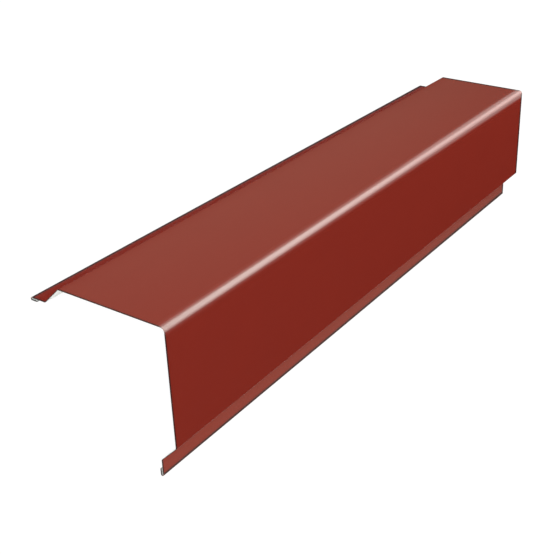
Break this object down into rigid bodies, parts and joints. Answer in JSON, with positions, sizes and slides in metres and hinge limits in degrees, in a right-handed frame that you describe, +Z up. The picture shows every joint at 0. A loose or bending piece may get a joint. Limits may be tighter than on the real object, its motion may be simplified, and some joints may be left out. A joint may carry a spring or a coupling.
{
  "type": "side flashing",
  "caption": "Long bent sheet-steel flashing: wide wings meet at a rounded ridge and end in a sloping step, a narrow strip and a folded hem. It covers a roof's side edge and barge board.",
  "frame": {"origin": "on the ground under the ridge, midway along the length, with the flashing lying ridge up on its hem folds", "axes": "+Y along the flashing's length, +Z up through the ridge, -X towards the wing that lies on the roof, +X towards the wing that hangs over the barge board"},
  "size_m": [0.2584, 1, 0.1573],
  "materials": {
    "coated_steel": "satin oxide-red polyester coat on galvanised steel"
  },
  "bodies": {
    "root": {"side_flashing": "coated_steel"}
  },
  "joints": []
}
